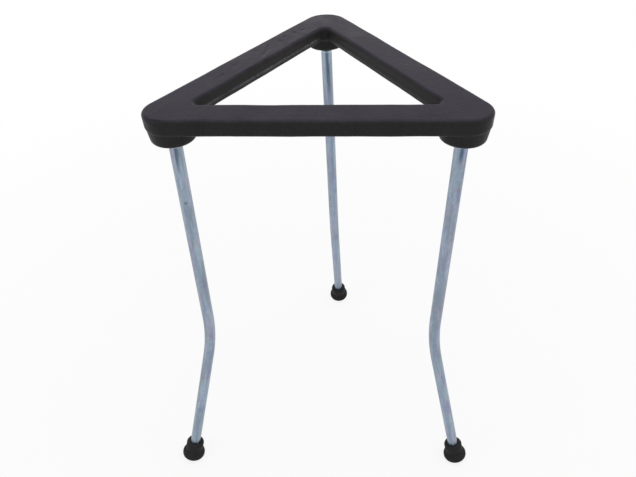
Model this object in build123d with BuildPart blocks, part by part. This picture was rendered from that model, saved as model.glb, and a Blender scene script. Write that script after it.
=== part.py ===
from build123d import *
import math
import os

# A laboratory tripod stand: a cast-iron triangular ring with a boss under each
# corner, three bent steel rods screwed up into the bosses, and a rubber foot
# pushed onto the lower end of each rod.  Sizes are in millimetres, angles in
# degrees.
#
# Frame: the floor is the plane z = 0, +Z is up, one corner of the ring points
# along +Y, and the origin is the middle of the box round the three soles.

# Driving dimensions: the whole stand
STAND_HEIGHT = 234.0  # floor to the top face of the ring
LEG_CIRCLE_RADIUS = 70.4  # ring axis to the axis of each boss

# Driving dimensions: the cast ring
RING_THICKNESS = 7.5
RING_BAR_WIDTH = 15.5
RING_CORNER_RADIUS = 11.4  # outer corners, concentric with the bosses
OPENING_CORNER_RADIUS = 3.0
RING_DRAFT = 2.0  # the outer wall leans inwards towards the underside
OPENING_DRAFT = 6.0  # the opening narrows towards the underside
RING_UPPER_EDGE_RADIUS = 1.5
RING_LOWER_EDGE_RADIUS = 1.5
BOSS_INSET = 0.2  # boss side set in from the ring's outer corner
BOSS_DEPTH = 6.2  # boss height below the ring
BOSS_DRAFT = 8.0  # the boss narrows downwards
BOSS_EDGE_RADIUS = 1.6
TAPPED_ROOF = 2.0  # iron left between the drill point and the top face
DRILL_POINT_ANGLE = 118.0

# Driving dimensions: the rods
ROD_DIAMETER = 6.0
THREAD_RELIEF = 0.1  # how far the thread's crests lie below the rod's surface
THREAD_SHOWING = 1.0  # thread left below the face of the boss
THREAD_CLEARANCE = 0.03  # radial, thread crests to tapped hole
THREAD_END_GAP = 0.5  # rod end to the bottom of the tapped hole
ROD_END_CHAMFER = 0.6
KNEE_HEIGHT = 95.7
KNEE_RADIUS = 107.0  # centreline of the bend

# Driving dimensions: the rubber feet
SOLE_DIAMETER = 13.6
COLLAR_WALL = 2.28  # rubber round the rod at the collar
WAIST_WALL = 1.88  # rubber round the rod at the waist
FOOT_LENGTH = 12.4
SOLE_SIDE_HEIGHT = 3.0  # straight side of the sole, before its edges are rounded
WAIST_HEIGHT = 5.8
COLLAR_HEIGHT = 7.4  # where the collar reaches its full diameter
SOLE_RIM_RADIUS = 1.9
SOLE_SHOULDER_RADIUS = 2.2
WAIST_FILLET_RADIUS = 1.2
COLLAR_EDGE_RADIUS = 1.7
SOLE_THICKNESS = 4.0  # rubber under the end of the rod
FOOT_CLEARANCE = 0.02  # rod to rubber, round it and at its end
SOLE_SQUASH = 0.35  # how far the low side of the rim is pressed flat

# The rods were bent by hand, so each is a little different: how far its knee
# lies outwards and sideways (anticlockwise from above) of its boss axis, how
# far its lower run leans out from the vertical, and how far that lean is
# turned from straight outwards.
LEGS = {
    "back": {"bearing": 90.0, "knee_out": 0.0, "knee_side": -3.0, "splay": 15.0, "turn": -5.2},
    "left": {"bearing": 210.0, "knee_out": 1.4, "knee_side": -0.6, "splay": 16.1, "turn": 6.3},
    "right": {"bearing": 330.0, "knee_out": -0.7, "knee_side": -0.2, "splay": 14.6, "turn": 0.6},
}

# Sizes that follow
RING_UNDERSIDE = STAND_HEIGHT - RING_THICKNESS
BOSS_FACE = RING_UNDERSIDE - BOSS_DEPTH
BOSS_RADIUS = RING_CORNER_RADIUS - BOSS_INSET
RING_INRADIUS = LEG_CIRCLE_RADIUS / 2 + RING_CORNER_RADIUS
OPENING_INRADIUS = RING_INRADIUS - RING_BAR_WIDTH
THREAD_RADIUS = ROD_DIAMETER / 2 - THREAD_RELIEF
HOLE_RADIUS = THREAD_RADIUS + THREAD_CLEARANCE
DRILL_POINT_DEPTH = HOLE_RADIUS / math.tan(math.radians(DRILL_POINT_ANGLE / 2))
TAPPED_DEPTH = STAND_HEIGHT - BOSS_FACE - TAPPED_ROOF - DRILL_POINT_DEPTH
FOOT_BORE_RADIUS = ROD_DIAMETER / 2 + FOOT_CLEARANCE
WAIST_RADIUS = FOOT_BORE_RADIUS + WAIST_WALL
COLLAR_RADIUS = FOOT_BORE_RADIUS + COLLAR_WALL


def level_direction(bearing):
    """Horizontal unit vector on a compass bearing, anticlockwise from +X."""
    angle = math.radians(bearing)
    return Vector(math.cos(angle), math.sin(angle), 0)


def axis_sketch_plane(origin, axis):
    """Plane through an axis, with its local Y along that axis."""
    across = Plane(origin=origin, z_dir=axis).x_dir
    return Plane(origin=origin, x_dir=across, z_dir=across.cross(axis))


def leg_line(leg):
    """The points and directions of one leg, measured from the ring's axis."""
    outward = level_direction(leg["bearing"])
    sideways = level_direction(leg["bearing"] + 90)
    entry = outward * LEG_CIRCLE_RADIUS + Vector(0, 0, BOSS_FACE)
    knee = outward * (LEG_CIRCLE_RADIUS + leg["knee_out"]) + sideways * leg["knee_side"]
    knee = knee + Vector(0, 0, KNEE_HEIGHT)
    splay = math.radians(leg["splay"])
    lean = level_direction(leg["bearing"] + leg["turn"]) * math.tan(splay)
    # The sole's middle is as high as its tilted, rounded rim holds it.
    rim_circle = SOLE_DIAMETER / 2 - SOLE_RIM_RADIUS
    rim_drop = rim_circle * math.sin(splay) + SOLE_RIM_RADIUS * (1 - math.cos(splay))
    sole_height = rim_drop - SOLE_SQUASH
    sole = knee + (lean - Vector(0, 0, 1)) * (KNEE_HEIGHT - sole_height)
    return {
        "entry": entry,
        "knee": knee,
        "sole": sole,
        "upper_axis": (entry - knee).normalized(),
        "lower_axis": (knee - sole).normalized(),
    }


# The ring's axis stands where it puts the origin midway between the soles.
soles = [leg_line(leg)["sole"] for leg in LEGS.values()]
middle_x = (min(sole.X for sole in soles) + max(sole.X for sole in soles)) / 2
middle_y = (min(sole.Y for sole in soles) + max(sole.Y for sole in soles)) / 2
RING_AXIS = Vector(-middle_x, -middle_y, 0)

lines = {}
for name, leg in LEGS.items():
    line = leg_line(leg)
    for point in ("entry", "knee", "sole"):
        line[point] = line[point] + RING_AXIS
    lines[name] = line


def ring_plane(height):
    """Horizontal plane centred on the ring's axis."""
    return Plane(origin=RING_AXIS + Vector(0, 0, height))


# The ring: one casting, with its three bosses and their tapped holes
with BuildPart() as ring:
    with BuildSketch(ring_plane(STAND_HEIGHT)):
        RegularPolygon(LEG_CIRCLE_RADIUS, 3, rotation=90)
        offset(amount=RING_CORNER_RADIUS)
    extrude(amount=-RING_THICKNESS, taper=RING_DRAFT)
    with BuildSketch(ring_plane(STAND_HEIGHT)) as opening:
        RegularPolygon(OPENING_INRADIUS, 3, major_radius=False, rotation=90)
        fillet(opening.vertices(), OPENING_CORNER_RADIUS)
    extrude(amount=-RING_THICKNESS, taper=OPENING_DRAFT, mode=Mode.SUBTRACT)
    fillet(ring.faces().sort_by(Axis.Z)[-1].edges(), RING_UPPER_EDGE_RADIUS)
    fillet(ring.faces().sort_by(Axis.Z)[0].edges(), RING_LOWER_EDGE_RADIUS)

    # The bosses start inside the ring, so that they fuse across its rounded edge.
    with BuildSketch(ring_plane(STAND_HEIGHT - RING_THICKNESS / 2)):
        with PolarLocations(LEG_CIRCLE_RADIUS, 3, start_angle=90):
            Circle(BOSS_RADIUS)
    extrude(amount=-(RING_THICKNESS / 2 + BOSS_DEPTH), taper=BOSS_DRAFT)
    fillet(ring.faces().filter_by(Plane.XY).sort_by(Axis.Z)[:3].edges(), BOSS_EDGE_RADIUS)

    for line in lines.values():
        with BuildSketch(axis_sketch_plane(line["entry"], line["upper_axis"])):
            with BuildLine():
                Polyline(
                    (0, -BOSS_DEPTH),
                    (HOLE_RADIUS, -BOSS_DEPTH),
                    (HOLE_RADIUS, TAPPED_DEPTH),
                    (0, TAPPED_DEPTH + DRILL_POINT_DEPTH),
                    close=True,
                )
            make_face()
        revolve(axis=Axis(line["entry"], line["upper_axis"]), mode=Mode.SUBTRACT)

os.makedirs("parts", exist_ok=True)
ring.part.label = "ring"
export_step(ring.part, "parts/ring.step")

for name, line in lines.items():
    # One rod: a bent bar with its upper end turned down for the thread
    shoulder = line["entry"] - line["upper_axis"] * THREAD_SHOWING
    rod_foot = line["sole"] + line["lower_axis"] * (SOLE_THICKNESS + FOOT_CLEARANCE)
    thread_length = THREAD_SHOWING + TAPPED_DEPTH - THREAD_END_GAP
    with BuildPart() as rod:
        with BuildLine() as rod_path:
            FilletPolyline(shoulder, line["knee"], rod_foot, radius=KNEE_RADIUS)
        with BuildSketch(Plane(origin=shoulder, z_dir=-line["upper_axis"])):
            Circle(ROD_DIAMETER / 2)
        sweep(path=rod_path.line)
        with BuildSketch(Plane(origin=shoulder, z_dir=line["upper_axis"])):
            Circle(THREAD_RADIUS)
        extrude(amount=thread_length)
        rod_ends = rod.faces().filter_by(GeomType.PLANE).sort_by(Axis.Z)
        chamfer(rod_ends[0].edges() + rod_ends[-1].edges(), ROD_END_CHAMFER)
    rod.part.label = "leg_" + name
    export_step(rod.part, "parts/leg_" + name + ".step")

    # One foot: a moulded rubber cap, pressed flat where it bears on the floor
    with BuildPart() as foot:
        with BuildSketch(axis_sketch_plane(line["sole"], line["lower_axis"])):
            with BuildLine():
                FilletPolyline(
                    (0, 0),
                    (SOLE_DIAMETER / 2, 0),
                    (SOLE_DIAMETER / 2, SOLE_SIDE_HEIGHT),
                    (WAIST_RADIUS, WAIST_HEIGHT),
                    (COLLAR_RADIUS, COLLAR_HEIGHT),
                    (COLLAR_RADIUS, FOOT_LENGTH),
                    (FOOT_BORE_RADIUS, FOOT_LENGTH),
                    (FOOT_BORE_RADIUS, SOLE_THICKNESS),
                    (0, SOLE_THICKNESS),
                    radius=[
                        SOLE_RIM_RADIUS,
                        SOLE_SHOULDER_RADIUS,
                        WAIST_FILLET_RADIUS,
                        WAIST_FILLET_RADIUS,
                        COLLAR_EDGE_RADIUS,
                        0,
                        0,
                    ],
                )
                Line((0, SOLE_THICKNESS), (0, 0))
            make_face()
        revolve(axis=Axis(line["sole"], line["lower_axis"]))
        split(bisect_by=Plane.XY, keep=Keep.TOP)
    foot.part.label = "foot_" + name
    export_step(foot.part, "parts/foot_" + name + ".step")
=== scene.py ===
import math

import bmesh
import bpy
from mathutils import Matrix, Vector, noise


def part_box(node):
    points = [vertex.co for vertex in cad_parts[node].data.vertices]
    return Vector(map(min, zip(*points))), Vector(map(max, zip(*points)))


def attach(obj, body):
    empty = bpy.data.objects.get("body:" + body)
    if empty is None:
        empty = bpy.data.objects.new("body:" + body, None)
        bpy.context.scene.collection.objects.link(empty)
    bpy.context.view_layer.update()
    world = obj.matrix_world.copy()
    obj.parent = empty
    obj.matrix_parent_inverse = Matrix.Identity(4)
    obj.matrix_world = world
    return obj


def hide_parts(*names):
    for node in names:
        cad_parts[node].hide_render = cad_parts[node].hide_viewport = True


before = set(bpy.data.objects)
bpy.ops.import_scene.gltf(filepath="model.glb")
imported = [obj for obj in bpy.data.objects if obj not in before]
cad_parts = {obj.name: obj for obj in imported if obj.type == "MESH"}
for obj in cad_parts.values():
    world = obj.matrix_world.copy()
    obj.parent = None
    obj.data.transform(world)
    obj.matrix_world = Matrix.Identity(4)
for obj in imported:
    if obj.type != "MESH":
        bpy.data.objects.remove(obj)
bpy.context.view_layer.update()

# A laboratory tripod: a painted cast-iron ring, three zinc-plated rods and
# three rubber feet.  Everything is in metres, in the frame's own axes, and
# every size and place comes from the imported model.
MM = 0.001
LEG_NAMES = ("back", "left", "right")

# Camera: aim point relative to the ring's axis, and how it is turned
AIM = Vector((-3.4, 0.0, 137.45)) * MM
CAMERA_DISTANCE = 328.2 * MM
CAMERA_HEADING = -4.15  # degrees from +Y, clockwise seen from above
CAMERA_ELEVATION = 38.78
CAMERA_ROLL = -2.06
FOCAL_PIXELS = 589.4  # focal length in units of one pixel of the 636-wide frame
FRAME_WIDTH = 636
SENSOR_WIDTH = 36.0

# Ring casting
REMESH_SIZE = 0.5 * MM
SOFTEN_SHARE = 0.5  # how far each smoothing pass moves a vertex
SOFTEN_PASSES = 2
WAVE_SIZE = 16 * MM  # slow unevenness of the cast faces
WAVE_DEPTH = 0.16 * MM
LUMP_SIZE = 3.2 * MM
LUMP_DEPTH = 0.022 * MM
FLASH_DROP = 4.8 * MM  # mould joint, below the top face
FLASH_WIDTH = 0.45 * MM
FLASH_HEIGHT = 0.3 * MM
# The flash starts at the first distance from a corner's centre and is full at the second
FLASH_GAP = (12 * MM, 20 * MM)
WALL_TILT = 0.6  # a wall's normal rises less than this
TOP_TILT = 0.5  # the top face's normal rises more than this
MARK_EDGE = 6  # marks end at this squared reach, in half sizes
MARK_RIM = 0.9  # how strongly a mark's rim is raised
FLASH_HIGHLIGHT_ELSEWHERE = 0.2  # how strongly the flash's painted highlight shows away from the left bar

# Shallow marks in the top face of the left bar: share of the way from the left
# corner to the back one, distance outwards from the line between them (mm),
# turn from that line (radians), half length, half width and depth (mm)
CASTING_MARKS = (
    (0.80, 4.0, 0.9, 3.6, 1.5, 0.30),
    (0.845, 2.6, 0.7, 2.8, 1.2, 0.22),
    (0.74, 5.2, 0.3, 3.2, 1.2, 0.20),
    (0.69, 3.0, 0.5, 3.6, 1.3, 0.24),
    (0.585, 2.4, 0.5, 4.6, 1.6, 0.38),
    (0.545, 0.6, 0.35, 3.6, 1.4, 0.30),
    (0.62, 5.0, 0.6, 3.0, 1.3, 0.22),
    (0.40, 4.0, 0.4, 4.2, 1.6, 0.16),
    (0.30, 2.0, 0.2, 3.8, 1.4, 0.14),
)

# Rods
ROD_RADIUS = 3.0 * MM
ROD_SIDES = 56
ROD_STEP = 1.5 * MM
SLICE_STEP = 4 * MM  # between the sections measured on a CAD rod
SLICE_MARGIN = 6 * MM  # no sections this near the foot end, or twice this near the top
SHOULDER_BAND = (-4 * MM, 1 * MM)  # shoulder vertices lie here, about the ring's underside
PLAIN_END = 2.5 * MM  # the even rings of vertices stop this far under the shoulder
MIN_SPACING = 0.1 * MM  # least distance from the ring of vertices below, at the groove
LOWER_CHAMFER = 0.5 * MM
SHOULDER_CHAMFER = 0.25 * MM
SHOULDER_CUT = 0.14 * MM  # how deep the shoulder's chamfer goes
# Run-out groove: distance under the shoulder and depth, both in mm
GROOVE = ((2.3, 0), (2.1, 0.1), (1.9, 0.14), (1.7, 0.1), (1.5, 0))
THREAD_PITCH = 1.0 * MM
THREAD_DEPTH = 0.45 * MM
THREAD_STEPS = 10  # rings of vertices along one pitch
THREAD_SHOWN = 3.0 * MM  # thread is modelled for this far above the shoulder
CREST_RELIEF = 0.1 * MM  # thread crests below the rod's surface
STUB_RELIEF = 0.3 * MM  # plain end above the thread, below the crests
END_CHAMFER = 0.3 * MM
END_RELIEF = 0.7 * MM  # rim of the upper end, below the crests
KNEE_PLACE = 0.45  # share of the way up the rod
KNEE_REACH = (0.3, 0.5)  # the flattening fades out over these shares from the knee
KNEE_FLATTENING = 0.012
FULL_BEND = 0.15  # radians of bend at which the knee is fully flattened

# Feet
FOOT_SIDES = 96
SEAM_HEIGHT = 0.07 * MM  # mould parting line
SEAM_WIDTH = 0.05  # radians
COLLAR_START = 0.75  # the collar's and the bore's radii are read above this share of the length
WAIST_SHARE = 0.34  # waist radius: this share of the wall beyond its middle
SOLE_RECESS = 0.35 * MM  # hollow under the sole
SOLE_RIM = 1.9 * MM
SOLE_SHOULDER = 2.0 * MM
COLLAR_EDGE = 1.7 * MM

# Lighting
LIT_HEIGHT = 0.15  # the lamps aim here, on the ring's axis
SKY_STRENGTH = 0.32
FLOOR_RADIUS = 8.0
FLOOR_SIDES = 96
SHADOW_REACH = (0.12, 0.6)  # the floor turns from shadowed to white between these radii
SHADOW_SHARE = (0.86, 1.0)  # share of white at those radii


# ---------------------------------------------------------------- mesh helpers
def new_object(name, vertices, faces):
    """A smooth-shaded mesh object."""
    mesh = bpy.data.meshes.new(name)
    mesh.from_pydata(vertices, [], faces)
    mesh.validate()
    shell = bmesh.new()
    shell.from_mesh(mesh)
    bmesh.ops.recalc_face_normals(shell, faces=shell.faces)
    shell.to_mesh(mesh)
    shell.free()
    mesh.shade_smooth()
    piece = bpy.data.objects.new(name, mesh)
    bpy.context.scene.collection.objects.link(piece)
    return piece


def tube_faces(rings, sides):
    """Quads between successive rings of vertices."""
    faces = []
    for i in range(rings - 1):
        for j in range(sides):
            k = (j + 1) % sides
            here = i * sides
            above = here + sides
            faces.append((here + j, here + k, above + k, above + j))
    return faces


def apply_modifiers(piece):
    """Bakes a piece's modifiers into its mesh."""
    graph = bpy.context.evaluated_depsgraph_get()
    piece.data = bpy.data.meshes.new_from_object(piece.evaluated_get(graph))
    piece.modifiers.clear()


def smooth_step(low, high, value):
    """0 up to low, 1 past high, and a smooth change between."""
    t = min(max((value - low) / (high - low), 0.0), 1.0)
    return t * t * (3 - 2 * t)


# ------------------------------------------------------------------- the frame
def ring_layout():
    """The ring's axis and the radius of its leg circle, from its box."""
    low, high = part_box("ring")
    width = high.x - low.x
    depth = high.y - low.y
    leg_circle = (width - depth) / (math.sqrt(3) - 1.5)
    corner = (width - math.sqrt(3) * leg_circle) / 2
    axis = Vector(((low.x + high.x) / 2, low.y + leg_circle / 2 + corner, 0))
    return axis, leg_circle


RING_AXIS, LEG_CIRCLE = ring_layout()
RING_LOW, RING_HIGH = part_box("ring")


def slice_centre(mesh, height):
    """Centre of a rod's level section at one height."""
    points = []
    for edge in mesh.edges:
        a = mesh.vertices[edge.vertices[0]].co
        b = mesh.vertices[edge.vertices[1]].co
        if (a.z - height) * (b.z - height) < 0:
            points.append(a.lerp(b, (height - a.z) / (b.z - a.z)))
    middle = sum(points, Vector()) / len(points)
    for _ in range(4):  # even out unevenly spaced points
        radii = [(p - middle).length for p in points]
        mean = sum(radii) / len(radii)
        pull = sum(((p - middle) * (1 - mean / r) for p, r in zip(points, radii)), Vector())
        middle += 2 * pull / len(points)
    return middle


def rod_line(name):
    """Centreline of a leg from its foot end to its threaded end, and its radius."""
    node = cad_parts["leg_" + name]
    low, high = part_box("leg_" + name)
    heights = [low.z + SLICE_MARGIN]
    while heights[-1] < high.z - 2 * SLICE_MARGIN:
        heights.append(heights[-1] + SLICE_STEP)
    off_vertex = 0.013 * MM  # keeps the slices clear of the mesh's own vertices
    points = [slice_centre(node.data, h + off_vertex) for h in heights]
    down = (points[0] - points[2]).normalized()
    up = (points[-1] - points[-4]).normalized()
    reach_down = max((v.co - points[0]).dot(down) for v in node.data.vertices)
    reach_up = max((v.co - points[-1]).dot(up) for v in node.data.vertices)
    points.insert(0, points[0] + down * reach_down)
    points.append(points[-1] + up * reach_up)
    section = [v.co for v in node.data.vertices if (v.co - points[1]).dot(down) > 0]
    radius = max(((p - points[0]) - down * (p - points[0]).dot(down)).length for p in section)
    return points, radius


# -------------------------------------------------------------------- the ring
def build_ring():
    """The casting: the CAD shape with the slow unevenness of a sand-cast face."""
    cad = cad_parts["ring"]
    piece = bpy.data.objects.new("ring_casting", cad.data.copy())
    bpy.context.scene.collection.objects.link(piece)
    piece.data.materials.clear()
    remesh = piece.modifiers.new("even_mesh", "REMESH")
    remesh.mode = "VOXEL"
    remesh.voxel_size = REMESH_SIZE
    wrap = piece.modifiers.new("true_shape", "SHRINKWRAP")
    wrap.target = cad
    wrap.wrap_method = "NEAREST_SURFACEPOINT"
    soften = piece.modifiers.new("soften", "SMOOTH")
    soften.factor = SOFTEN_SHARE
    soften.iterations = SOFTEN_PASSES
    apply_modifiers(piece)
    roughen_casting(piece)
    piece.data.shade_smooth()
    return piece


def ring_corners():
    """The centres of the back, left and right corners, in the top face."""
    corners = []
    for bearing in (90, 210, 330):
        angle = math.radians(bearing)
        outward = Vector((math.cos(angle), math.sin(angle), 0))
        corners.append(RING_AXIS + outward * LEG_CIRCLE + Vector((0, 0, RING_HIGH.z)))
    return corners


def casting_dents():
    """Shallow marks in the top face: middle, direction along, half sizes, depth."""
    back, left, _ = ring_corners()
    along = (back - left).normalized()
    across = Vector((-along.y, along.x, 0))
    marks = []
    for run, side, turn, length, width, depth in CASTING_MARKS:
        middle = left + (back - left) * run + across * side * MM
        direction = (along * math.cos(turn) + across * math.sin(turn)).normalized()
        marks.append((middle, direction, length * MM, width * MM, depth * MM))
    corner_mark = back + Vector((-0.5, 4.5, 0)) * MM
    marks.append((corner_mark, Vector((1, 0, 0)), 1.6 * MM, 1.1 * MM, 0.16 * MM))
    return marks


def roughen_casting(piece):
    """Adds waves, marks and a flash line to the casting, along its normals, and stores a painted
    highlight along the flash line.
    """
    marks = casting_dents()
    corners = ring_corners()
    moves = []
    flash_highlight_shares = []
    for vertex in piece.data.vertices:
        point = vertex.co
        normal = vertex.normal
        move = WAVE_DEPTH * noise.noise(point / WAVE_SIZE)
        move += LUMP_DEPTH * noise.noise(point / LUMP_SIZE + Vector((7.1, 2.3, 5.9)))
        flash = 0
        if abs(normal.z) < WALL_TILT and normal.xy.dot(RING_AXIS.xy - point.xy) > 0:
            height = point.z - RING_HIGH.z + FLASH_DROP
            ragged = 0.75 + noise.noise(point / WAVE_SIZE)
            clear = min((point.xy - corner.xy).length for corner in corners)
            ragged *= smooth_step(*FLASH_GAP, clear)
            flash = math.exp(-((height / FLASH_WIDTH) ** 2)) * ragged
            move += FLASH_HEIGHT * flash
            # the painted highlight along the flash is full on the left bar's inner wall only
            in_front_bar = point.y < RING_AXIS.y - 0.42 * LEG_CIRCLE
            if point.x > RING_AXIS.x or in_front_bar:
                flash *= FLASH_HIGHLIGHT_ELSEWHERE
        flash_highlight_shares.append(flash)
        if normal.z > TOP_TILT:
            for middle, direction, length, width, depth in marks:
                offset = point - middle
                run = offset.dot(direction)
                side = offset.x * -direction.y + offset.y * direction.x
                reach = (run / length) ** 2 + (side / width) ** 2
                if reach < MARK_EDGE:
                    move -= depth * math.exp(-reach) * (1 - MARK_RIM * reach)
        moves.append(normal * move)
    for vertex, move in zip(piece.data.vertices, moves):
        vertex.co += move
    flash_highlight = piece.data.attributes.new("painted_flash_highlight", "FLOAT", "POINT")
    flash_highlight.data.foreach_set("value", flash_highlight_shares)


# -------------------------------------------------------------------- the rods
def resample(points, step):
    """Evenly spaced points on a Catmull-Rom curve through the given ones."""
    dense = []
    for i in range(len(points) - 1):
        a = points[max(i - 1, 0)]
        b = points[i]
        c = points[i + 1]
        d = points[min(i + 2, len(points) - 1)]
        count = max(2, round((c - b).length / step))
        for k in range(count):
            t = k / count
            square = (2 * a - 5 * b + 4 * c - d) * t**2
            cube = (3 * b - a - 3 * c + d) * t**3
            dense.append(0.5 * (2 * b + (c - a) * t + square + cube))
    dense.append(points[-1])
    return dense


def build_rod(name, line, radius):
    """A bent rod with a run-out groove, a shoulder and a fine thread at its upper end.

    Each ring of vertices is a centre, a direction, a distance along the rod, a
    radius and a number of thread turns, which is 0 where the rod is plain.
    """
    points = resample(line, ROD_STEP)
    top = points.pop()
    up = (top - line[-2]).normalized()
    shoulder = shoulder_centre(name)
    plain = [p for p in points if p.z < shoulder.z - PLAIN_END]
    side = Vector((0, -1, 0))
    rings = []
    travelled = 0.0
    for i, point in enumerate(plain):
        ahead = plain[min(i + 1, len(plain) - 1)]
        behind = plain[max(i - 1, 0)]
        direction = (ahead - behind).normalized()
        if i:
            travelled += (point - plain[i - 1]).length
        from_knee = abs(i / len(plain) - KNEE_PLACE)
        bend = direction.angle(up) * (1 - smooth_step(*KNEE_REACH, from_knee))
        flattening = KNEE_FLATTENING * min(bend / FULL_BEND, 1)
        rings.append((point, direction, travelled, radius * (1 - flattening), 0))
    start, forward = rings[0][:2]
    rings[0] = (start, forward, 0.0, radius - LOWER_CHAMFER, 0)
    rings.insert(1, (start + forward * LOWER_CHAMFER, forward, LOWER_CHAMFER, radius, 0))
    for drop, cut in GROOVE:
        groove = shoulder - up * drop * MM
        if (groove - rings[-1][0]).dot(up) > MIN_SPACING:
            travelled += (groove - rings[-1][0]).length
            rings.append((groove, up, travelled, radius - cut * MM, 0))
    edge = shoulder - up * SHOULDER_CHAMFER
    travelled += (edge - rings[-1][0]).length
    rings.append((edge, up, travelled, radius, 0))
    rings.append((shoulder, up, travelled + SHOULDER_CHAMFER, radius - SHOULDER_CUT, 0))
    crest = radius - CREST_RELIEF
    steps = int(THREAD_SHOWN / THREAD_PITCH * THREAD_STEPS)
    for k in range(1, steps + 1):
        rise = k * THREAD_PITCH / THREAD_STEPS
        rings.append((shoulder + up * rise, up, travelled + rise, crest, rise / THREAD_PITCH))
    last = rings[-1][0]
    rest = (top - last).dot(up)
    stub = crest - STUB_RELIEF
    rings.append((last + up * END_CHAMFER, up, travelled + THREAD_SHOWN, stub, 0))
    rings.append((last + up * (rest - 2 * END_CHAMFER), up, travelled + rest, stub, 0))
    rings.append((last + up * rest, up, travelled + rest, crest - END_RELIEF, 0))

    vertices = []
    local = []
    for point, direction, distance, size, turns in rings:
        across = (side - direction * side.dot(direction)).normalized()
        third = direction.cross(across)
        for j in range(ROD_SIDES):
            angle = 2 * math.pi * j / ROD_SIDES
            reach = size
            if turns:
                phase = (turns - angle / (2 * math.pi)) % 1
                cut = abs(phase - 0.5) * 2
                reach -= THREAD_DEPTH * smooth_step(0, 1, cut) * smooth_step(0, 0.8, turns)
            offset = across * math.cos(angle) + third * math.sin(angle)
            vertices.append(point + offset * reach)
            local.append((math.cos(angle) * radius, math.sin(angle) * radius, distance))
    faces = tube_faces(len(rings), ROD_SIDES)
    faces.append(tuple(reversed(range(ROD_SIDES))))
    faces.append(tuple(range((len(rings) - 1) * ROD_SIDES, len(rings) * ROD_SIDES)))
    piece = new_object("rod_" + name, [tuple(v) for v in vertices], faces)
    store_rod_points(piece, local, travelled)
    return piece


def shoulder_centre(name):
    """Where the full rod ends and its thread begins, from the CAD mesh."""
    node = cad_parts["leg_" + name]
    low, high = (RING_LOW.z + shift for shift in SHOULDER_BAND)
    near = [v.co for v in node.data.vertices if low < v.co.z < high]
    return sum(near, Vector()) / len(near)


def store_rod_points(piece, local, length):
    """Keeps each point's place on the straight rod, and its distance below the shoulder."""
    place = piece.data.attributes.new("rod_place", "FLOAT_VECTOR", "POINT")
    place.data.foreach_set("vector", [value for point in local for value in point])
    below = piece.data.attributes.new("below_boss", "FLOAT", "POINT")
    below.data.foreach_set("value", [length - point[2] for point in local])


# -------------------------------------------------------------------- the feet
def build_foot(name, line):
    """A moulded rubber foot round its rod's lower end, with a mould parting line."""
    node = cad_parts["foot_" + name]
    up = (line[2] - line[0]).normalized()
    base = line[0]
    heights = [(v.co - base).dot(up) for v in node.data.vertices]
    reach = [((v.co - base) - up * (v.co - base).dot(up)).length for v in node.data.vertices]
    bottom = min(heights)
    length = max(heights) - bottom
    sole = max(reach)
    upper = [r for r, h in zip(reach, heights) if h - bottom > COLLAR_START * length]
    collar = max(upper)
    bore = min(upper)
    waist = (collar + bore) / 2 + WAIST_SHARE * (collar - bore)
    profile = foot_profile(sole, collar, waist, bore, length)
    across = up.orthogonal().normalized()
    third = up.cross(across)
    origin = base + up * bottom
    vertices = []
    for radius, height in profile:
        for j in range(FOOT_SIDES):
            angle = 2 * math.pi * j / FOOT_SIDES
            seam = min(angle % math.pi, math.pi - angle % math.pi)
            outside = radius > bore * 1.2
            ridge = SEAM_HEIGHT * math.exp(-((seam / SEAM_WIDTH) ** 2)) if outside else 0
            offset = (across * math.cos(angle) + third * math.sin(angle)) * (radius + ridge)
            point = origin + offset + up * height
            point.z = max(point.z, 0.0)
            vertices.append(tuple(point))
    faces = tube_faces(len(profile), FOOT_SIDES)
    count = len(vertices)
    vertices.append(tuple(origin + up * profile[0][1]))
    vertices.append(tuple(origin + up * profile[-1][1]))
    last = (len(profile) - 1) * FOOT_SIDES
    for j in range(FOOT_SIDES):
        k = (j + 1) % FOOT_SIDES
        faces.append((count, k, j))
        faces.append((count + 1, last + j, last + k))
    return new_object("rubber_foot_" + name, vertices, faces)


def arc(centre, radius, start, end, steps):
    """Points on an arc, angles in degrees."""
    points = []
    for i in range(steps + 1):
        angle = math.radians(start + (end - start) * i / steps)
        points.append((centre[0] + radius * math.cos(angle), centre[1] + radius * math.sin(angle)))
    return points


def foot_profile(sole, collar, waist, bore, length):
    """Radius and height along the foot's outline, from under the sole to the bore's floor."""
    # hollow under the sole
    points = [(sole * 0.10, SOLE_RECESS), (sole * 0.55, SOLE_RECESS), (sole * 0.62, 0.05 * MM)]
    # rim and side of the sole, and its shoulder
    points += arc((sole - SOLE_RIM, SOLE_RIM), SOLE_RIM, -90, 0, 8)
    points += [(sole, 2.5 * MM)]
    points += arc((sole - SOLE_SHOULDER, 2.6 * MM), SOLE_SHOULDER, 10, 52, 5)
    # waist
    points += [(waist + 0.22 * MM, 5.2 * MM), (waist, 5.75 * MM), (waist + 0.02 * MM, 6.2 * MM)]
    points += [(waist + 0.22 * MM, 6.8 * MM), (collar - 0.06 * MM, 7.6 * MM)]
    # collar and its upper edge
    points += arc((collar - COLLAR_EDGE, length - COLLAR_EDGE), COLLAR_EDGE, 0, 88, 9)
    # lip of the bore, its wall and its floor
    lip = bore + 0.3 * MM
    points += [(lip, length), (bore + 0.08 * MM, length - 0.1 * MM), (bore, length - 0.35 * MM)]
    points += [(bore, length * 0.6), (bore, 4.2 * MM), (bore * 0.9, 4.02 * MM)]
    return points


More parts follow.
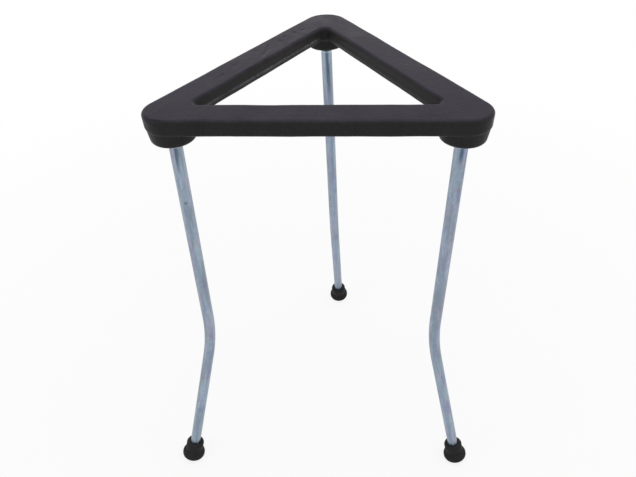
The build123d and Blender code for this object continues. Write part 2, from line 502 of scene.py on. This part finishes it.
# ------------------------------------------------------------------- materials
class Nodes:
    """Short calls for building one material's node tree."""

    def __init__(self, name):
        self.material = bpy.data.materials.new(name)
        self.material.use_nodes = True
        self.tree = self.material.node_tree
        self.tree.nodes.clear()
        self.shader = self.tree.nodes.new("ShaderNodeBsdfPrincipled")
        output = self.tree.nodes.new("ShaderNodeOutputMaterial")
        self.link(self.shader.outputs[0], output.inputs["Surface"])

    def link(self, source, target):
        self.tree.links.new(source, target)

    def place(self):
        """The piece's own coordinates, in metres."""
        return self.tree.nodes.new("ShaderNodeTexCoord").outputs["Object"]

    def attribute(self, name, kind):
        node = self.tree.nodes.new("ShaderNodeAttribute")
        node.attribute_name = name
        return node.outputs[kind]

    def stretched(self, vector, scale, shift):
        node = self.tree.nodes.new("ShaderNodeMapping")
        node.inputs["Scale"].default_value = scale
        node.inputs["Location"].default_value = shift
        self.link(vector, node.inputs["Vector"])
        return node.outputs[0]

    def noise(self, vector, scale, detail, rough):
        node = self.tree.nodes.new("ShaderNodeTexNoise")
        node.inputs["Scale"].default_value = scale
        node.inputs["Detail"].default_value = detail
        node.inputs["Roughness"].default_value = rough
        self.link(vector, node.inputs["Vector"])
        return node.outputs[0]

    def ramp(self, value, stops):
        node = self.tree.nodes.new("ShaderNodeValToRGB")
        elements = node.color_ramp.elements
        while len(elements) < len(stops):
            elements.new(0.5)
        for element, (place, colour) in zip(elements, stops):
            element.position = place
            element.color = (*colour, 1)
        self.link(value, node.inputs[0])
        return node.outputs[0]

    def spread(self, value, low, high, new_low, new_high):
        node = self.tree.nodes.new("ShaderNodeMapRange")
        node.interpolation_type = "SMOOTHSTEP"
        for socket, number in zip(node.inputs[1:5], (low, high, new_low, new_high)):
            socket.default_value = number
        self.link(value, node.inputs[0])
        return node.outputs[0]

    def maths(self, operation, first, second=0):
        node = self.tree.nodes.new("ShaderNodeMath")
        node.operation = operation
        for socket, value in zip(node.inputs, (first, second)):
            if isinstance(value, (int, float)):
                socket.default_value = value
            else:
                self.link(value, socket)
        return node.outputs[0]

    def mix(self, factor, first, second, blend="MIX"):
        node = self.tree.nodes.new("ShaderNodeMix")
        node.data_type = "RGBA"
        node.blend_type = blend
        sockets = (node.inputs[0], node.inputs[6], node.inputs[7])
        for socket, value in zip(sockets, (factor, first, second)):
            if isinstance(value, (int, float)):
                socket.default_value = value
            elif isinstance(value, tuple):
                socket.default_value = (*value, 1)
            else:
                self.link(value, socket)
        return node.outputs[2]

    def bump(self, layers):
        """Stacked bumps: each layer is a height and its depth in metres."""
        normal = None
        for height, depth in layers:
            node = self.tree.nodes.new("ShaderNodeBump")
            node.inputs["Distance"].default_value = depth
            self.link(height, node.inputs["Height"])
            if normal:
                self.link(normal, node.inputs["Normal"])
            normal = node.outputs[0]
        self.link(normal, self.shader.inputs["Normal"])


def painted_casting():
    """Satin black paint over a fine sand-cast texture, with a faintly purple painted sheen on the
    upward faces.
    """
    n = Nodes("black_casting")
    place = n.place()
    clouds = n.noise(place, 95, 5, 0.65)
    grain = n.noise(place, 900, 3, 0.6)
    pits = n.noise(place, 330, 2, 0.5)
    facing = n.tree.nodes.new("ShaderNodeSeparateXYZ")
    n.link(n.tree.nodes.new("ShaderNodeNewGeometry").outputs["Normal"], facing.inputs[0])
    # painted sheen: upward faces get their own purple-tinted tone by the way they face, in place
    # of the sky's reflection
    top_sheen_mask = n.spread(facing.outputs[2], 0.35, 0.95, 0, 1)
    sides = n.ramp(clouds, ((0.3, (0.023, 0.023, 0.023)), (0.7, (0.028, 0.028, 0.028))))
    top = n.ramp(
        clouds,
        (
            (0.34, (0.015, 0.0125, 0.021)),
            (0.5, (0.0225, 0.018, 0.0285)),
            (0.66, (0.032, 0.026, 0.038)),
        ),
    )
    tone = n.mix(top_sheen_mask, sides, top)
    # painted highlight: a lighter grey line along the flash, where the floor's reflection shows
    patchy = n.spread(pits, 0.35, 0.6, 0.5, 1)
    flash_highlight = n.maths("MULTIPLY", n.attribute("painted_flash_highlight", "Fac"), patchy)
    flash_highlight_grey = (0.115, 0.112, 0.125)
    tone = n.mix(flash_highlight, tone, flash_highlight_grey)
    speckle = n.spread(grain, 0.35, 0.65, 0.92, 1.08)
    shade = n.mix(1.0, tone, speckle, "MULTIPLY")
    n.link(shade, n.shader.inputs["Base Color"])
    n.link(n.spread(clouds, 0.35, 0.65, 0.30, 0.48), n.shader.inputs["Roughness"])
    n.shader.inputs["Specular IOR Level"].default_value = 0.075
    n.bump(((n.spread(pits, 0.55, 0.75, 0, 1), 0.03 * MM), (grain, 0.015 * MM)))
    return n.material


def zinc_plate(seed, reflection_angle, reflection_width, reflection_length, spot):
    """Bright zinc over drawn steel: lengthwise streaks of grey, blue and lilac, with painted
    reflections down the side facing the camera.

    The seed shifts the streaks, so that no two rods match.
    """
    n = Nodes("zinc_rod_%d" % seed)
    local = n.attribute("rod_place", "Vector")
    below = n.attribute("below_boss", "Fac")
    shift = (seed * 0.37, seed * 0.11, seed * 0.53)
    fine = n.noise(n.stretched(local, (1, 1, 0.05), shift), 1500, 3, 0.6)
    broad = n.noise(n.stretched(local, (1, 1, 0.11), shift), 420, 3, 0.55)
    patch = n.noise(n.stretched(local, (1, 1, 0.45), shift), 170, 2, 0.5)
    colour = n.ramp(
        patch,
        (
            (0.30, (0.25, 0.285, 0.41)),
            (0.43, (0.30, 0.36, 0.43)),
            (0.52, (0.29, 0.355, 0.42)),
            (0.60, (0.33, 0.335, 0.415)),
            (0.72, (0.245, 0.32, 0.45)),
        ),
    )
    colour = n.mix(1.0, colour, n.spread(broad, 0.3, 0.7, 0.78, 1.16), "MULTIPLY")
    colour = n.mix(1.0, colour, n.spread(fine, 0.3, 0.7, 0.92, 1.07), "MULTIPLY")
    crystals = n.noise(n.stretched(local, (1, 1, 0.6), shift), 900, 2, 0.5)
    colour = n.mix(1.0, colour, n.spread(crystals, 0.3, 0.7, 0.93, 1.07), "MULTIPLY")
    # painted reflections down the side facing the camera: a dark one, with painted shade, that
    # starts under the boss, and a faint blue one all the way down
    split = n.tree.nodes.new("ShaderNodeSeparateXYZ")
    n.link(local, split.inputs[0])
    angle = n.maths("ARCTAN2", split.outputs[1], split.outputs[0])
    wander = n.spread(broad, 0.2, 0.8, -0.2, 0.2)
    away = n.maths("ABSOLUTE", n.maths("ADD", n.maths("SUBTRACT", angle, reflection_angle), wander))
    band = n.spread(away, 0.2 * reflection_width, reflection_width, 1, 0)
    fade = n.spread(below, 0.3 * reflection_length, reflection_length, 1, 0)
    dark_reflection = n.maths("MULTIPLY", n.maths("MULTIPLY", band, fade), 0.78)
    long_band = n.spread(away, 0.05, 0.75, 1, 0)
    blotches = n.noise(n.stretched(local, (0.5, 0.5, 0.3), shift), 130, 2, 0.5)
    patches = n.spread(blotches, 0.35, 0.6, 0.25, 1)
    faint_reflection = n.maths("MULTIPLY", n.maths("MULTIPLY", long_band, patches), 0.45)
    reflected_faint_blue = (0.20, 0.28, 0.40)
    reflected_dark_blue = (0.045, 0.085, 0.13)
    colour = n.mix(faint_reflection, colour, reflected_faint_blue)
    colour = n.mix(dark_reflection, colour, reflected_dark_blue)
    # the turned end above the run-out is painted darker, as painted shade under the boss, and the
    # run-out itself is bright
    shaded_end_grey = (0.07, 0.10, 0.13)
    bare_steel = (0.52, 0.60, 0.66)
    colour = n.mix(n.spread(below, 1.3 * MM, 1.7 * MM, 0.65, 0), colour, shaded_end_grey)
    line = n.maths("ABSOLUTE", n.maths("SUBTRACT", below, 1.9 * MM))
    colour = n.mix(n.spread(line, 0.15 * MM, 0.4 * MM, 0.6, 0), colour, bare_steel)
    if spot:
        # one small dark spot where the plating is damaged
        spot_angle, spot_drop = spot
        spot_grey = (0.09, 0.13, 0.12)
        across = n.maths("MULTIPLY", n.maths("SUBTRACT", angle, spot_angle), ROD_RADIUS)
        down = n.maths("SUBTRACT", below, spot_drop)
        squares = [n.maths("MULTIPLY", part, part) for part in (across, down)]
        reach = n.maths("SQRT", n.maths("ADD", *squares))
        colour = n.mix(n.spread(reach, 0.35 * MM, 1.1 * MM, 0.65, 0), colour, spot_grey)
    n.link(colour, n.shader.inputs["Base Color"])
    n.shader.inputs["Metallic"].default_value = 1.0
    n.link(n.spread(broad, 0.3, 0.7, 0.30, 0.46), n.shader.inputs["Roughness"])
    n.bump(((fine, 0.012 * MM), (patch, 0.05 * MM)))
    return n.material


def black_rubber():
    """Matt black moulded rubber with a fine dusty grain."""
    n = Nodes("black_rubber")
    place = n.place()
    grain = n.noise(place, 1300, 3, 0.6)
    dust = n.noise(place, 240, 4, 0.6)
    colour = n.ramp(
        dust,
        (
            (0.35, (0.020, 0.020, 0.020)),
            (0.6, (0.025, 0.025, 0.026)),
            (0.78, (0.036, 0.036, 0.038)),
        ),
    )
    n.link(colour, n.shader.inputs["Base Color"])
    n.link(n.spread(dust, 0.3, 0.7, 0.56, 0.72), n.shader.inputs["Roughness"])
    n.shader.inputs["Specular IOR Level"].default_value = 0.08
    n.bump(((dust, 0.05 * MM), (grain, 0.03 * MM)))
    return n.material


# ----------------------------------------------------------- floor, light, view
def shown_white(tree, surface, share):
    """Mixes plain white into a surface where the camera or a reflection sees it."""
    path = tree.nodes.new("ShaderNodeLightPath")
    seen = path.outputs["Is Camera Ray"]
    for name in ("Is Glossy Ray", "Is Transmission Ray"):
        both = tree.nodes.new("ShaderNodeMath")
        both.operation = "MAXIMUM"
        tree.links.new(seen, both.inputs[0])
        tree.links.new(path.outputs[name], both.inputs[1])
        seen = both.outputs[0]
    amount = tree.nodes.new("ShaderNodeMath")
    amount.operation = "MULTIPLY"
    tree.links.new(seen, amount.inputs[0])
    if isinstance(share, float):
        amount.inputs[1].default_value = share
    else:
        tree.links.new(share, amount.inputs[1])
    kind = "ShaderNodeBackground" if surface.type == "BACKGROUND" else "ShaderNodeEmission"
    white = tree.nodes.new(kind)
    white.inputs["Color"].default_value = (1, 1, 1, 1)
    white.inputs["Strength"].default_value = 1.0
    mix = tree.nodes.new("ShaderNodeMixShader")
    tree.links.new(amount.outputs[0], mix.inputs[0])
    tree.links.new(surface.outputs[0], mix.inputs[1])
    tree.links.new(white.outputs[0], mix.inputs[2])
    return mix.outputs[0]


def white_share(tree):
    """How white the floor is shown: a soft shadow near the stand, none far away."""
    place = tree.nodes.new("ShaderNodeTexCoord")
    length = tree.nodes.new("ShaderNodeVectorMath")
    length.operation = "LENGTH"
    tree.links.new(place.outputs["Object"], length.inputs[0])
    spread = tree.nodes.new("ShaderNodeMapRange")
    spread.interpolation_type = "SMOOTHSTEP"
    for socket, number in zip(spread.inputs[1:5], SHADOW_REACH + SHADOW_SHARE):
        socket.default_value = number
    tree.links.new(length.outputs["Value"], spread.inputs[0])
    return spread.outputs[0]


def build_floor():
    """A wide, plain, pale floor that keeps the stand's soft shadow."""
    rim = []
    for i in range(FLOOR_SIDES):
        angle = 2 * math.pi * i / FLOOR_SIDES
        rim.append((FLOOR_RADIUS * math.cos(angle), FLOOR_RADIUS * math.sin(angle), 0))
    floor = new_object("floor", rim, [tuple(range(FLOOR_SIDES))])
    material = bpy.data.materials.new("pale_floor")
    material.use_nodes = True
    tree = material.node_tree
    tree.nodes.clear()
    matt = tree.nodes.new("ShaderNodeBsdfDiffuse")
    matt.inputs["Color"].default_value = (0.86, 0.86, 0.86, 1)
    output = tree.nodes.new("ShaderNodeOutputMaterial")
    tree.links.new(shown_white(tree, matt, white_share(tree)), output.inputs["Surface"])
    floor.data.materials.append(material)


def build_world():
    """Even pale surroundings, white where the camera or a reflection sees them."""
    world = bpy.data.worlds.new("studio")
    world.use_nodes = True
    bpy.context.scene.world = world
    tree = world.node_tree
    tree.nodes.clear()
    glow = tree.nodes.new("ShaderNodeBackground")
    glow.inputs["Color"].default_value = (1.0, 1.0, 1.0, 1)
    glow.inputs["Strength"].default_value = SKY_STRENGTH
    output = tree.nodes.new("ShaderNodeOutputWorld")
    tree.links.new(shown_white(tree, glow, 1.0), output.inputs["Surface"])


def area_lamp(name, place, aim, size, power):
    """A round soft lamp: size in metres, power in watts."""
    light = bpy.data.lights.new(name, "AREA")
    light.shape = "DISK"
    light.size = size
    light.energy = power
    lamp = bpy.data.objects.new(name, light)
    lamp.location = place
    lamp.rotation_euler = (aim - place).to_track_quat("-Z", "Y").to_euler()
    bpy.context.scene.collection.objects.link(lamp)


def build_camera():
    """The camera looks down at the stand from in front."""
    heading = math.radians(CAMERA_HEADING)
    drop = math.radians(CAMERA_ELEVATION)
    ahead = Vector((math.sin(heading), math.cos(heading), 0))
    forward = ahead * math.cos(drop) - Vector((0, 0, math.sin(drop)))
    level = Vector((math.cos(heading), -math.sin(heading), 0))
    upright = level.cross(forward)
    roll = math.radians(CAMERA_ROLL)
    right = level * math.cos(roll) + upright * math.sin(roll)
    above = upright * math.cos(roll) - level * math.sin(roll)
    data = bpy.data.cameras.new("camera")
    data.sensor_width = SENSOR_WIDTH
    data.lens = FOCAL_PIXELS * SENSOR_WIDTH / FRAME_WIDTH
    data.clip_start = 0.01
    camera = bpy.data.objects.new("camera", data)
    place = RING_AXIS + AIM - forward * CAMERA_DISTANCE
    for column, axis in enumerate((right, above, -forward)):
        for row in range(3):
            camera.matrix_world[row][column] = axis[row]
    camera.matrix_world.translation = place
    bpy.context.scene.collection.objects.link(camera)
    bpy.context.scene.camera = camera


# --------------------------------------------------------------------- assembly
def finish_piece(piece, node, material):
    """Gives a piece its material and puts it in place of one CAD node."""
    piece.data.materials.clear()
    piece.data.materials.append(material)
    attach(piece, "root")
    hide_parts(node)


# A damaged spot on a rod: its angle (radians) and its distance below the shoulder
SPOTS = {"back": None, "left": (0.20, 31 * MM), "right": None}
# The painted dark reflection on each rod's camera-facing side: its angle, half width (radians) and
# length (m)
CAMERA_SIDE_REFLECTIONS = {"back": (0.20, 0.40, 0.042), "left": (0.22, 0.38, 0.019), "right": (-0.12, 0.32, 0.013)}

build_camera()
finish_piece(build_ring(), "ring", painted_casting())
rubber = black_rubber()
for number, name in enumerate(LEG_NAMES):
    line, radius = rod_line(name)
    angle, width, reach = CAMERA_SIDE_REFLECTIONS[name]
    plating = zinc_plate(number + 1, angle, width, reach, SPOTS[name])
    finish_piece(build_rod(name, line, radius), "leg_" + name, plating)
    finish_piece(build_foot(name, line), "foot_" + name, rubber)

build_floor()
build_world()
middle = RING_AXIS + Vector((0, 0, LIT_HEIGHT))
area_lamp("overhead", middle + Vector((0.05, 0.10, 1.15)), middle, 1.3, 10.0)
area_lamp("left_fill", middle + Vector((-1.3, -0.7, 0.6)), middle, 0.9, 4.0)
area_lamp("right_fill", middle + Vector((1.4, -0.5, 0.7)), middle, 0.9, 3.0)

bpy.context.scene.view_settings.view_transform = "Standard"
bpy.context.view_layer.update()
